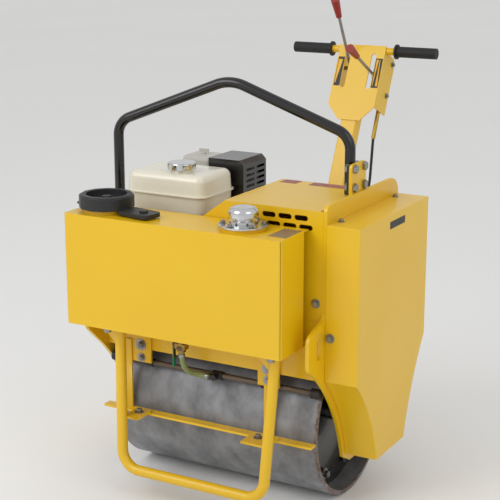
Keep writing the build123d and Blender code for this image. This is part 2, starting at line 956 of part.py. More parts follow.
def muffler():
    body = block(
        guard_left + muffler_gap,
        guard_right - muffler_gap,
        guard_front + muffler_gap,
        guard_rear - muffler_gap,
        guard_bottom + muffler_gap,
        guard_top - guard_bevel - guard_sheet - 1,
    )
    body = fillet(body.edges(), 9)
    x = guard_left + 45
    y = guard_front + 48
    pipe = rod_z(crank_z + bell_radius, guard_bottom + 2 * muffler_gap, x, y, 14) - cylinder_head()
    z = guard_top - 40
    body += block(guard_left + guard_sheet, guard_right - guard_sheet, y - 8, y + 8, z - 1, z + 1)
    return body + pipe


def drive_housing():
    bell = Pos((crankcase_right + hood_left) / 2, crank_y, crank_z) * Rot(0, 90, 0) * Cone(
        bell_radius - 6, bell_radius - 20, hood_left - crankcase_right
    )
    pump = block(
        hood_left,
        hood_left + pump_length,
        crank_y - pump_half,
        crank_y + pump_half,
        crank_z - pump_half,
        crank_z + pump_half,
    )
    pump = fillet(pump.edges().filter_by(Axis.X), 14)
    pump += rod_x(hood_left + pump_length, hood_right - hood_sheet, crank_y, crank_z, 30)
    front = crank_y - pump_foot_half
    rear = crank_y + pump_foot_half
    left = hood_left + pump_foot_inset
    right = hood_left + pump_length - pump_foot_inset
    pump += block(left, right, front, rear, deck_top, crank_z - pump_half)
    return bell + pump


# Handle


def on_handle(shape):
    return Pos(0, handle_foot_y, handle_foot_height) * Rot(-handle_lean, 0, 0) * shape


def handle_column():
    half = column_width / 2
    wall = column_wall
    column = block(-half, half, -column_front, column_back, -column_foot, column_top)
    column = fillet(column.edges().filter_by(Axis.Z), 4)
    column -= block(
        -half + wall, half - wall, -column_front + wall, column_back - wall, -column_foot - 1, column_top + 1
    )
    column -= rod_x(-column_width, column_width, 0, 0, pin_radius)
    return on_handle(column)


def handle_bracket():
    ears = None
    inner = column_width / 2 + ear_fit
    for side in (-1, 1):
        outline = make_face(
            FilletPolyline(
                (frame_rear, handle_foot_height - ear_height),
                (frame_rear, handle_foot_height + ear_height / 2),
                (frame_rear + 30, handle_foot_height + ear_height / 2),
                (frame_rear + ear_reach, handle_foot_height + 20),
                (frame_rear + ear_reach, handle_foot_height - 24),
                (frame_rear + 30, handle_foot_height - ear_height),
                radius=12,
                close=True,
            )
        )
        ear = side_prism(outline, side * inner, side * (inner + ear_thickness))
        ears = ear if ears is None else ears + ear
    end = inner + ear_thickness
    ears += rod_x(-end - 10, end + 10, handle_foot_y, handle_foot_height, pin_radius)
    for side in (-1, 1):
        ears += rod_x(side * end, side * (end + 8), handle_foot_y, handle_foot_height, pin_radius + 5)
    return ears


def handle_head():
    half = head_width / 2
    low = head_low_width / 2
    outline = Polyline(
        (-low, head_low),
        (-half, head_shoulder),
        (-half, head_high),
        (half, head_high),
        (half, head_shoulder),
        (low, head_low),
        close=True,
    )
    plate = Pos(0, -bar_radius, 0) * (Plane.XZ * make_face(outline))
    head = extrude(plate, head_sheet, dir=(0, -1, 0))
    slot = Rot(90, 0, 0) * extrude(
        Rot(0, 0, 90) * SlotOverall(head_slot_length, head_slot_width), 2 * head_sheet, both=True
    )
    for side in (-1, 1):
        head -= Pos(side * head_slot_x, -bar_radius - head_sheet / 2, head_slot_middle) * slot
        inner = side * (half - head_sheet)
        flange = block(inner, side * half, -bar_radius, head_flange_reach, head_shoulder, head_flange_top)
        rear = flange.edges().filter_by(Axis.X).group_by(Axis.Y)[-1].sort_by(Axis.Z)[-1]
        head += fillet(rear, 20)
    head -= rod_x(-head_width, head_width, 0, bar_height, bar_radius)
    return on_handle(head)


def handlebar():
    bar = rod_x(-bar_half, bar_half, 0, bar_height, bar_radius)
    return on_handle(bar - rod_x(-2 * bar_half, 2 * bar_half, 0, bar_height, bar_radius - 2.5))


def grip(side):
    start = side * (bar_half - grip_length)
    end = side * (bar_half + grip_wall_end)
    body = rod_x(start, end, 0, bar_height, grip_radius)
    body += rod_x(start, start + side * 5, 0, bar_height, grip_flange_radius)
    body -= rod_x(start - side, side * bar_half, 0, bar_height, bar_radius)
    return on_handle(body)


def control_levers():
    levers = None
    for low, high in ((travel_lever_low, travel_lever_high), (throttle_lever_low, throttle_lever_high)):
        flange = math.copysign(head_width / 2 - head_sheet, low[0])
        lever = rod_between(low, high, lever_radius)
        lever += rod_x(low[0] * 0.8, flange, low[1], low[2], lever_shaft_radius)
        levers = lever if levers is None else levers + lever
    return on_handle(levers)


def lever_knob(low, high):
    along = (Vector(high) - Vector(low)).normalized()
    return rod_between(high, Vector(high) + along * knob_length, lever_radius + 4, knob_radius)


def lever_knobs():
    knobs = lever_knob(travel_lever_low, travel_lever_high)
    knobs += lever_knob(throttle_lever_low, throttle_lever_high)
    return on_handle(knobs)


def cable_sleeve():
    return on_handle(rod_between(sleeve_top, sleeve_bottom, sleeve_radius))


def control_cable():
    end = cable_route[-1]
    route = FilletPolyline(*cable_route, radius=[cable_top_bend, cable_bend, cable_bend, cable_bend])
    cable = tube_along(route, cable_radius)
    return cable + rod_y(frame_rear, end[1] + 1, end[0], end[2], gland_radius)


# Rear stand


def rear_stand():
    foot_z = stand_tube / 2
    route = FilletPolyline(
        (-stand_half_width, stand_pivot_y, stand_pivot_height - stand_pin_radius),
        (-stand_half_width, stand_foot_y, foot_z),
        (stand_half_width, stand_foot_y, foot_z),
        (stand_half_width, stand_pivot_y, stand_pivot_height - stand_pin_radius),
        radius=stand_bend,
    )
    stand = tube_along(route, stand_tube / 2)
    bore = stand_pin_radius + stand_pin_clearance
    half = stand_tube / 2 + stand_boss_overhang
    for side in (-1, 1):
        x = side * stand_half_width
        stand += rod_x(x - half, x + half, stand_pivot_y, stand_pivot_height, stand_boss_radius)
        stand -= rod_x(x - 2 * half, x + 2 * half, stand_pivot_y, stand_pivot_height, bore)
    return stand


def stand_bracket(side):
    x = side * stand_half_width
    half = stand_tube / 2 + stand_boss_overhang
    low = stand_pivot_height - stand_lug_radius
    high = stand_pivot_height + stand_lug_radius
    bracket = None
    for wall in (-1, 1):
        near = x + wall * (half + stand_lug_gap)
        far = near + wall * stand_lug_thickness
        lug = block(near, far, frame_rear, stand_pivot_y, low, high)
        lug += rod_x(near, far, stand_pivot_y, stand_pivot_height, stand_lug_radius)
        bracket = lug if bracket is None else bracket + lug
    end = half + stand_lug_gap + stand_lug_thickness + 6
    return bracket + rod_x(x - end, x + end, stand_pivot_y, stand_pivot_height, stand_pin_radius)


pieces = {
    "drum_shell": drum_shell(),
    "drum_disc_right": drum_disc(1),
    "drum_disc_left": drum_disc(-1),
    "axle_right": axle(1),
    "axle_left": axle(-1),
    "side_plate_right": side_plate(
        right_inner, right_outer, right_top, rear_corner_radius,
        high_lug, high_slot, lug_radius, high_lug,
    ),
    "side_plate_left": side_plate(
        left_outer, left_inner, left_top, front_corner_radius,
        low_lug, low_slot, low_lug_radius, left_rear_lug,
    ),
    "front_beam": front_beam(),
    "rear_beam": rear_beam(),
    "engine_deck": engine_deck(),
    "drive_cover": drive_cover(),
    "hood": hood(),
    "water_tank": water_tank(),
    "filler_cap": filler_cap(),
    "breather_cap": breather_cap(),
    "front_guard": front_guard(),
    "guard_bracket_left": guard_bracket(-1),
    "guard_bracket_right": guard_bracket(1),
    "scraper_front": scraper(-1),
    "scraper_rear": scraper(1),
    "sprinkler_pipe": sprinkler_pipe(),
    "pipe_fittings": pipe_fittings(),
    "drain_valve": drain_valve(),
    "sprinkler_hose": sprinkler_hose(),
    "lifting_arch": lifting_arch(),
    "arch_bracket_right": arch_bracket_right(),
    "arch_bracket_left": arch_bracket_left(),
    "arch_bolts": arch_bolts(),
    "engine_crankcase": engine_crankcase(),
    "engine_cylinder": engine_cylinder(),
    "recoil_starter": recoil_starter(),
    "fuel_tank": fuel_tank(),
    "fuel_cap": fuel_cap(),
    "air_cleaner": air_cleaner(),
    "carburettor": carburettor(),
    "muffler_guard": muffler_guard(),
    "muffler": muffler(),
    "drive_housing": drive_housing(),
    "handle_column": handle_column(),
    "handle_bracket": handle_bracket(),
    "handle_head": handle_head(),
    "handlebar": handlebar(),
    "handle_grips": grip(-1) + grip(1),
    "control_levers": control_levers(),
    "lever_knobs": lever_knobs(),
    "cable_sleeve": cable_sleeve(),
    "control_cable": control_cable(),
    "rear_stand": rear_stand(),
    "stand_bracket_right": stand_bracket(1),
    "stand_bracket_left": stand_bracket(-1),
}
for name, shape in pieces.items():
    save(shape, name)
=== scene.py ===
import math

import bpy
from mathutils import Matrix, Vector
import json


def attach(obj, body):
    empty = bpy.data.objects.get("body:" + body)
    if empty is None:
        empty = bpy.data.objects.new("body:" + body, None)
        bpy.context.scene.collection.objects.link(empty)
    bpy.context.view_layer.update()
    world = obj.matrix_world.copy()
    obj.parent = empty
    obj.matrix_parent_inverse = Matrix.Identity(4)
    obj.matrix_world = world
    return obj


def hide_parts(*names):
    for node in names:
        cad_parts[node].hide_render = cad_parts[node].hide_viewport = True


# metres; -Y is the front with the water tank, +X the drive-cover side, the floor is at Z 0
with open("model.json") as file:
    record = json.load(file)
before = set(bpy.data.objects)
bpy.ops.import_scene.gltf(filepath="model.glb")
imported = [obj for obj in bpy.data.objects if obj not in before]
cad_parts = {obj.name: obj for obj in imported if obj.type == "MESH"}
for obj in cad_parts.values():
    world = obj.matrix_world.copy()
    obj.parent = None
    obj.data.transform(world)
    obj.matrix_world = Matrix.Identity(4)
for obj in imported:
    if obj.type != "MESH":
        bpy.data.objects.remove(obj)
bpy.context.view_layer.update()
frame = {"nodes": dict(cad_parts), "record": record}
record = frame["record"]
slotOfNode = {part["node"]: part["material_slot"] for part in record["subparts"]}
bodyOfNode = {node: body for body, nodes in record["behaviour"]["bodies"].items() for node in nodes}
mm = 0.001
# socket numbers of a Mix node that mixes colours, and of a Map Range node
mixFactor, mixFirst, mixSecond, mixColour = 0, 6, 7, 2
rangeValue, fromLow, fromHigh, toLow, toHigh = 0, 1, 2, 3, 4
print("frame loaded:", len(frame["nodes"]), "nodes")


# sRGB hex to linear, by the sRGB curve
def linearColour(hexColour):
    channels = []
    for start in (1, 3, 5):
        value = int(hexColour[start : start + 2], 16) / 255
        channels.append(value / 12.92 if value <= 0.04045 else ((value + 0.055) / 1.055) ** 2.4)
    return (*channels, 1.0)


def addNode(tree, kind, settings=None, links=None):
    node = tree.nodes.new(kind)
    for key, value in (settings or {}).items():
        if isinstance(key, str) and hasattr(node, key):
            setattr(node, key, value)
        else:
            node.inputs[key].default_value = value
    for key, source in (links or {}).items():
        tree.links.new(source, node.inputs[key])
    return node


def startMaterial(name):
    material = bpy.data.materials.new(name)
    material.use_nodes = True
    tree = material.node_tree
    surface = tree.nodes["Principled BSDF"]
    place = addNode(tree, "ShaderNodeTexCoord").outputs["Object"]
    return material, tree, surface, place


enamelLooks = {
    # safety yellow over welded sheet
    "yellow": {
        "paint": "#E9BD0A", "worn": "#E2B407", "patchSize": 250 * mm,
        "roughness": 0.3, "coat": 0.2, "dustTop": 320 * mm, "dustAmount": 0.12,
    },
    "black": {
        "paint": "#08080A", "worn": "#0D0D0F", "patchSize": 100 * mm,
        "roughness": 0.22, "coat": 0.3, "dustTop": 300 * mm, "dustAmount": 0.05,
    },
    "cream": {
        "paint": "#E9E4D2", "worn": "#E3DDC9", "patchSize": 100 * mm,
        "roughness": 0.25, "coat": 0.6, "dustTop": 300 * mm, "dustAmount": 0.0,
    },
}
sprayedPaint = {
    "roadDust": "#8D8268", "dustGrain": 14 * mm, "peelSize": 4 * mm, "peelHeight": 0.2 * mm,
    "peelStrength": 0.06, "glossDrift": 0.08, "coatRoughness": 0.06, "ior": 1.5,
}


# sprayed two-part enamel: glossy, with a faint orange peel and light road dust low down
def sprayedEnamel(name, look):
    material, tree, surface, place = startMaterial(name)
    cloud = addNode(
        tree, "ShaderNodeTexNoise", {"Scale": 1 / look["patchSize"], "Detail": 4}, {"Vector": place}
    )
    tint = addNode(
        tree,
        "ShaderNodeMix",
        {"data_type": "RGBA", mixFirst: linearColour(look["paint"]), mixSecond: linearColour(look["worn"])},
        {mixFactor: cloud.outputs["Fac"]},
    )
    height = addNode(tree, "ShaderNodeSeparateXYZ", {}, {0: place})
    low = addNode(
        tree,
        "ShaderNodeMapRange",
        {
            "interpolation_type": "SMOOTHSTEP",
            fromLow: look["dustTop"], fromHigh: 0.0, toLow: 0.0, toHigh: look["dustAmount"],
        },
        {rangeValue: height.outputs["Z"]},
    )
    speckle = addNode(
        tree, "ShaderNodeTexNoise", {"Scale": 1 / sprayedPaint["dustGrain"], "Detail": 6}, {"Vector": place}
    )
    dust = addNode(
        tree, "ShaderNodeMath", {"operation": "MULTIPLY"}, {0: low.outputs[0], 1: speckle.outputs["Fac"]}
    )
    soiled = addNode(
        tree,
        "ShaderNodeMix",
        {"data_type": "RGBA", mixSecond: linearColour(sprayedPaint["roadDust"])},
        {mixFactor: dust.outputs[0], mixFirst: tint.outputs[mixColour]},
    )
    gloss = addNode(
        tree,
        "ShaderNodeMapRange",
        {
            fromLow: 0.3, fromHigh: 0.7,
            toLow: look["roughness"], toHigh: look["roughness"] + sprayedPaint["glossDrift"],
        },
        {rangeValue: cloud.outputs["Fac"]},
    )
    # orange peel of a spray gun is 1 to 2 mm across; drawn at 4 mm so that it shows
    peel = addNode(
        tree, "ShaderNodeTexNoise", {"Scale": 1 / sprayedPaint["peelSize"], "Detail": 1}, {"Vector": place}
    )
    bump = addNode(
        tree,
        "ShaderNodeBump",
        {"Strength": sprayedPaint["peelStrength"], "Distance": sprayedPaint["peelHeight"]},
        {"Height": peel.outputs["Fac"]},
    )
    tree.links.new(soiled.outputs[mixColour], surface.inputs["Base Color"])
    tree.links.new(gloss.outputs[0], surface.inputs["Roughness"])
    tree.links.new(bump.outputs[0], surface.inputs["Normal"])
    surface.inputs["IOR"].default_value = sprayedPaint["ior"]
    surface.inputs["Coat Weight"].default_value = look["coat"]
    surface.inputs["Coat Roughness"].default_value = sprayedPaint["coatRoughness"]
    return material


drumLook = {
    "scale": "#6E6F73", "steel": "#85878B", "rubbed": "#989A9F", "rust": "#6A4A38",
    "metal": 0.35, "rustMetal": 0.1, "patchSize": 60 * mm, "patchStretch": (1, 0.7, 0.7),
    "dullRoughness": 0.62, "rubbedRoughness": 0.4, "pitDepth": 0.4 * mm, "pitStrength": 0.25,
    "rustStart": 291 * mm, "rustFull": 299 * mm, "rustGrain": 9 * mm,
}


# hot rolled plate bent to a drum: grey mill scale in clouds, rubbed brighter in places, rust at the cut rims
def rolledSteel(name, look):
    material, tree, surface, place = startMaterial(name)
    stretch = addNode(tree, "ShaderNodeMapping", {"Scale": look["patchStretch"]}, {0: place})
    scale = addNode(
        tree,
        "ShaderNodeTexNoise",
        {"Scale": 1 / look["patchSize"], "Detail": 8, "Roughness": 0.6},
        {"Vector": stretch.outputs[0]},
    )
    ramp = addNode(tree, "ShaderNodeValToRGB", {}, {0: scale.outputs["Fac"]})
    ramp.color_ramp.elements[0].position = 0.32
    ramp.color_ramp.elements[0].color = linearColour(look["scale"])
    ramp.color_ramp.elements[1].position = 0.68
    ramp.color_ramp.elements[1].color = linearColour(look["rubbed"])
    middle = ramp.color_ramp.elements.new(0.5)
    middle.color = linearColour(look["steel"])
    side = addNode(tree, "ShaderNodeSeparateXYZ", {}, {0: place})
    reach = addNode(tree, "ShaderNodeMath", {"operation": "ABSOLUTE"}, {0: side.outputs["X"]})
    edge = addNode(
        tree,
        "ShaderNodeMapRange",
        {
            "interpolation_type": "SMOOTHSTEP",
            fromLow: look["rustStart"], fromHigh: look["rustFull"], toLow: 0.0, toHigh: 1.0,
        },
        {rangeValue: reach.outputs[0]},
    )
    bloom = addNode(
        tree, "ShaderNodeTexNoise", {"Scale": 1 / look["rustGrain"], "Detail": 6}, {"Vector": place}
    )
    spread = addNode(
        tree,
        "ShaderNodeMapRange",
        {fromLow: 0.42, fromHigh: 0.6, toLow: 0.15, toHigh: 1.0},
        {rangeValue: bloom.outputs["Fac"]},
    )
    rust = addNode(
        tree, "ShaderNodeMath", {"operation": "MULTIPLY"}, {0: edge.outputs[0], 1: spread.outputs[0]}
    )
    coat = addNode(
        tree,
        "ShaderNodeMix",
        {"data_type": "RGBA", mixSecond: linearColour(look["rust"])},
        {mixFactor: rust.outputs[0], mixFirst: ramp.outputs[0]},
    )
    metal = addNode(
        tree,
        "ShaderNodeMapRange",
        {toLow: look["metal"], toHigh: look["rustMetal"]},
        {rangeValue: rust.outputs[0]},
    )
    gloss = addNode(
        tree,
        "ShaderNodeMapRange",
        {fromLow: 0.3, fromHigh: 0.7, toLow: look["dullRoughness"], toHigh: look["rubbedRoughness"]},
        {rangeValue: scale.outputs["Fac"]},
    )
    pits = addNode(
        tree,
        "ShaderNodeBump",
        {"Strength": look["pitStrength"], "Distance": look["pitDepth"]},
        {"Height": scale.outputs["Fac"]},
    )
    tree.links.new(coat.outputs[mixColour], surface.inputs["Base Color"])
    tree.links.new(metal.outputs[0], surface.inputs["Metallic"])
    tree.links.new(gloss.outputs[0], surface.inputs["Roughness"])
    tree.links.new(pits.outputs[0], surface.inputs["Normal"])
    return material


grainHeight = 0.3 * mm


# plain metals, plastics and films: one colour drifting to another in soft patches, and a fine grain
def patchyFinish(name, look):
    material, tree, surface, place = startMaterial(name)
    cloud = addNode(
        tree, "ShaderNodeTexNoise", {"Scale": 1 / look["patchSize"], "Detail": 5}, {"Vector": place}
    )
    tint = addNode(
        tree,
        "ShaderNodeMix",
        {
            "data_type": "RGBA",
            mixFirst: linearColour(look["colour"]), mixSecond: linearColour(look["second"]),
        },
        {mixFactor: cloud.outputs["Fac"]},
    )
    gloss = addNode(
        tree,
        "ShaderNodeMapRange",
        {fromLow: 0.3, fromHigh: 0.7, toLow: look["roughness"], toHigh: look["roughness"] + 0.1},
        {rangeValue: cloud.outputs["Fac"]},
    )
    grain = addNode(
        tree, "ShaderNodeTexNoise", {"Scale": 1 / look["grainSize"], "Detail": 2}, {"Vector": place}
    )
    bump = addNode(
        tree,
        "ShaderNodeBump",
        {"Strength": look["grain"], "Distance": grainHeight},
        {"Height": grain.outputs["Fac"]},
    )
    tree.links.new(tint.outputs[mixColour], surface.inputs["Base Color"])
    tree.links.new(gloss.outputs[0], surface.inputs["Roughness"])
    tree.links.new(bump.outputs[0], surface.inputs["Normal"])
    surface.inputs["Metallic"].default_value = look.get("metal", 0.0)
    if "see" in look:
        surface.inputs["Transmission Weight"].default_value = look["see"]
    return material


# grainSize is that of the texture, which is drawn coarser than the real one so that it shows
patchyLooks = {
    # turned axle: bright steel with a film of oil, dull in patches
    "axle_steel": {
        "name": "turned_steel", "colour": "#8C8A86", "second": "#6F6D69", "metal": 1.0,
        "roughness": 0.35, "grain": 0.1, "grainSize": 2 * mm, "patchSize": 30 * mm,
    },
    # injection moulded polypropylene: matte, with a faint spark-eroded texture
    "black_plastic": {
        "name": "moulded_black_polypropylene", "colour": "#1A1A1B", "second": "#242425",
        "roughness": 0.42, "grain": 0.15, "grainSize": 1.5 * mm, "patchSize": 40 * mm,
    },
    # bright nickel-chrome plate on pressed steel: a mirror, a little uneven
    "chrome_cap": {
        "name": "chrome_plate", "colour": "#D9DADB", "second": "#C9CACC", "metal": 1.0,
        "roughness": 0.12, "grain": 0.03, "grainSize": 3 * mm, "patchSize": 30 * mm,
    },
    # zinc plated water pipe, weathered to a brown grey
    "pipe_steel": {
        "name": "weathered_pipe", "colour": "#5C5046", "second": "#7A6E62", "metal": 0.6,
        "roughness": 0.5, "grain": 0.2, "grainSize": 2 * mm, "patchSize": 20 * mm,
    },
    # turned brass, dulled by water
    "valve_brass": {
        "name": "dull_brass", "colour": "#B08D4A", "second": "#8E7038", "metal": 1.0,
        "roughness": 0.35, "grain": 0.1, "grainSize": 2 * mm, "patchSize": 20 * mm,
    },
    # extruded soft PVC hose: greenish and half clear
    "hose_plastic": {
        "name": "clear_green_pvc", "colour": "#A9B77A", "second": "#93A565", "see": 0.4,
        "roughness": 0.25, "grain": 0.05, "grainSize": 3 * mm, "patchSize": 20 * mm,
    },
    # sand cast aluminium under black heat paint: dark and grainy
    "engine_alloy": {
        "name": "cast_dark_alloy", "colour": "#2C2B2A", "second": "#45423F", "metal": 0.5,
        "roughness": 0.5, "grain": 0.35, "grainSize": 2 * mm, "patchSize": 40 * mm,
    },
    # moulded ABS air cleaner case: pale grey, half matte
    "grey_plastic": {
        "name": "moulded_light_grey_abs", "colour": "#C9C7BE", "second": "#BDBBB1",
        "roughness": 0.4, "grain": 0.15, "grainSize": 1.5 * mm, "patchSize": 50 * mm,
    },
    # pressed sheet steel, browned by heat
    "muffler_steel": {
        "name": "heat_stained_steel", "colour": "#6A5F55", "second": "#8B8178", "metal": 0.9,
        "roughness": 0.45, "grain": 0.15, "grainSize": 2 * mm, "patchSize": 30 * mm,
    },
    # moulded rubber grip: dull and grainy
    "black_rubber": {
        "name": "grip_rubber", "colour": "#151515", "second": "#1E1E1E",
        "roughness": 0.6, "grain": 0.3, "grainSize": 2.5 * mm, "patchSize": 30 * mm,
    },
    # zinc plated rods and bolts: light grey, half bright
    "lever_steel": {
        "name": "zinc_plated_steel", "colour": "#A8A8A6", "second": "#8F8F8D", "metal": 1.0,
        "roughness": 0.32, "grain": 0.08, "grainSize": 2 * mm, "patchSize": 20 * mm,
    },
    # moulded phenolic knob: dull red with a soft shine
    "red_plastic": {
        "name": "red_phenolic", "colour": "#9C2A20", "second": "#87241B",
        "roughness": 0.3, "grain": 0.05, "grainSize": 2 * mm, "patchSize": 20 * mm,
    },
    # yellow passivated zinc ferrule: a straw-coloured metal
    "sleeve_brass": {
        "name": "yellow_passivated_zinc", "colour": "#C2A24E", "second": "#A88A3C", "metal": 1.0,
        "roughness": 0.35, "grain": 0.05, "grainSize": 2 * mm, "patchSize": 20 * mm,
    },
    # extruded cable sheath: black and half matte
    "cable_rubber": {
        "name": "cable_sheath", "colour": "#161616", "second": "#202020",
        "roughness": 0.5, "grain": 0.1, "grainSize": 2 * mm, "patchSize": 20 * mm,
    },
}
finishes = {slotName: patchyFinish(look["name"], look) for slotName, look in patchyLooks.items()}
finishes["yellow_enamel"] = sprayedEnamel("safety_yellow_enamel", enamelLooks["yellow"])
finishes["black_paint"] = sprayedEnamel("gloss_black_enamel", enamelLooks["black"])
finishes["cream_enamel"] = sprayedEnamel("cream_enamel", enamelLooks["cream"])
# the starter's paint is the black one, sprayed thinner and left satin
finishes["starter_paint"] = sprayedEnamel(
    "satin_dark_enamel", enamelLooks["black"] | {"roughness": 0.4, "coat": 0.1}
)
finishes["drum_steel"] = rolledSteel("rolled_drum_steel", drumLook)
print("finishes ready:", len(finishes))


def clearSelection():
    if bpy.context.object and bpy.context.object.mode != "OBJECT":
        bpy.ops.object.mode_set(mode="OBJECT")
    bpy.ops.object.select_all(action="DESELECT")


def makeActive(piece):
    clearSelection()
    piece.select_set(True)
    bpy.context.view_layer.objects.active = piece


# breaks every edge that is sharper than the given angle
def breakEdges(piece, width, segments, sharpAngle):
    makeActive(piece)
    bevel = piece.modifiers.new("broken_edge", "BEVEL")
    bevel.width = width
    bevel.segments = segments
    bevel.limit_method = "ANGLE"
    bevel.angle_limit = math.radians(sharpAngle)
    bpy.ops.object.modifier_apply(modifier=bevel.name)
    return piece


# round faces smooth, flat faces truly flat beside their broken edges
def flattenFaces(piece):
    makeActive(piece)
    bpy.ops.object.shade_smooth_by_angle(angle=math.radians(32))
    normals = piece.modifiers.new("flat_faces", "WEIGHTED_NORMAL")
    normals.keep_sharp = True
    normals.weight = 100
    bpy.ops.object.modifier_apply(modifier=normals.name)


dressing = {"weldDistance": 0.01 * mm, "flatAngle": 0.5, "edgeSteps": 2, "sharpAngle": 35}
# width of the broken edge in millimetres; a node that isn't named keeps its sharp edges
brokenEdges = {
    "water_tank": 1.5, "hood": 1.0, "drive_cover": 1.5, "side_plate_right": 1.0, "side_plate_left": 1.0,
    "front_beam": 1.0, "rear_beam": 1.0, "engine_deck": 1.0, "guard_bracket_left": 1.0,
    "guard_bracket_right": 1.0, "filler_cap": 1.0, "breather_cap": 0.8, "handle_head": 1.0,
}


# the CAD solid's own surface with welded corners, broken edges and smooth round faces
def dressNode(node, edge):
    piece = bpy.data.objects.new(node + "_skin", frame["nodes"][node].data.copy())
    bpy.context.scene.collection.objects.link(piece)
    makeActive(piece)
    bpy.ops.object.mode_set(mode="EDIT")
    bpy.ops.mesh.select_all(action="SELECT")
    bpy.ops.mesh.remove_doubles(threshold=dressing["weldDistance"])
    bpy.ops.mesh.dissolve_limited(angle_limit=math.radians(dressing["flatAngle"]))
    bpy.ops.object.mode_set(mode="OBJECT")
    if edge:
        breakEdges(piece, edge, dressing["edgeSteps"], dressing["sharpAngle"])
    flattenFaces(piece)
    piece.data.materials.clear()
    piece.data.materials.append(finishes[slotOfNode[node]])
    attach(piece, bodyOfNode[node])
    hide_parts(node)
    return piece


for node in frame["nodes"]:
    dressNode(node, brokenEdges.get(node, 0) * mm)
print("surfaces dressed")


# places a new piece with its finish on the body that carries it
def finishPiece(piece, name, body, slotName, material=None):
    piece.name = name
    piece.data.name = name
    makeActive(piece)
    bpy.ops.object.transform_apply(location=True, rotation=True, scale=True)
    piece.data.materials.clear()
    piece.data.materials.append(material or finishes[slotName])
    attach(piece, body)
    return piece


def joinPieces(parts):
    clearSelection()
    for part in parts:
        part.select_set(True)
    bpy.context.view_layer.objects.active = parts[0]
    if len(parts) > 1:
        bpy.ops.object.join()
    return bpy.context.object


def bevelled(piece, width, segments=2):
    return breakEdges(piece, width, segments, 40)


def cylinder(radius, depth, middle, sides=32, turn=(0, 0, 0)):
    clearSelection()
    bpy.ops.mesh.primitive_cylinder_add(
        vertices=sides, radius=radius, depth=depth, location=middle, rotation=turn
    )
    piece = bpy.context.object
    bpy.ops.object.transform_apply(location=True, rotation=True, scale=True)
    return piece


# a flat block between two opposite corners
def slab(low, high):
    clearSelection()
    size = [b - a for a, b in zip(low, high)]
    middle = [(a + b) / 2 for a, b in zip(low, high)]
    bpy.ops.mesh.primitive_cube_add(size=1, location=middle)
    piece = bpy.context.object
    piece.scale = size
    bpy.ops.object.transform_apply(location=True, rotation=True, scale=True)
    return piece


# shares of the width across the flats of the hexagon
boltShape = {
    "washerRadius": 0.92, "washerHeight": 0.12, "washerEdge": 0.03,
    "headHeight": 0.6, "headEdge": 0.08,
    "tipRadius": 0.3, "tipHeight": 0.2, "tipEdge": 0.05,
}


# a hexagon head on its washer, standing on the origin with its shank side down
def modelBolt(across):
    sizes = {key: across * share for key, share in boltShape.items()}
    washerHeight, headHeight = sizes["washerHeight"], sizes["headHeight"]
    washer = cylinder(sizes["washerRadius"], washerHeight, (0, 0, washerHeight / 2))
    washer = bevelled(washer, sizes["washerEdge"])
    corner = across / 2 / math.cos(math.radians(30))
    head = cylinder(corner, headHeight, (0, 0, washerHeight + headHeight / 2), 6)
    head = bevelled(head, sizes["headEdge"])
    tip = cylinder(sizes["tipRadius"], sizes["tipHeight"], (0, 0, washerHeight + headHeight))
    tip = bevelled(tip, sizes["tipEdge"])
    bolt = joinPieces([washer, head, tip])
    flattenFaces(bolt)
    return bolt


towards = {
    "front": (0, -1, 0), "rear": (0, 1, 0), "up": (0, 0, 1),
    "down": (0, 0, -1), "right": (1, 0, 0), "left": (-1, 0, 0),
}
# the handle leans back from upright about its foot pin
handle = {"lean": 25, "foot": (0, 390.6, 424)}
handleFoot = Matrix.Translation(Vector(handle["foot"]) * mm)
onHandle = handleFoot @ Matrix.Rotation(-math.radians(handle["lean"]), 4, "X")


# places evenly round a circle, the first one turned by the given degrees
def ring(count, radius, firstTurn):
    angles = [math.radians(360 / count * number + firstTurn) for number in range(count)]
    return [(radius * math.cos(angle), radius * math.sin(angle)) for angle in angles]


breatherMiddle, breatherTop = (138, -287), 763
axleHeight, discFace, plateFaceRight, plateFaceLeft = 212.5, 254, 323, -325
discRing = [(y, z + axleHeight) for y, z in ring(8, 166, 22.5)]
axleRing = [(y, z + axleHeight) for y, z in ring(4, 45, 0)]
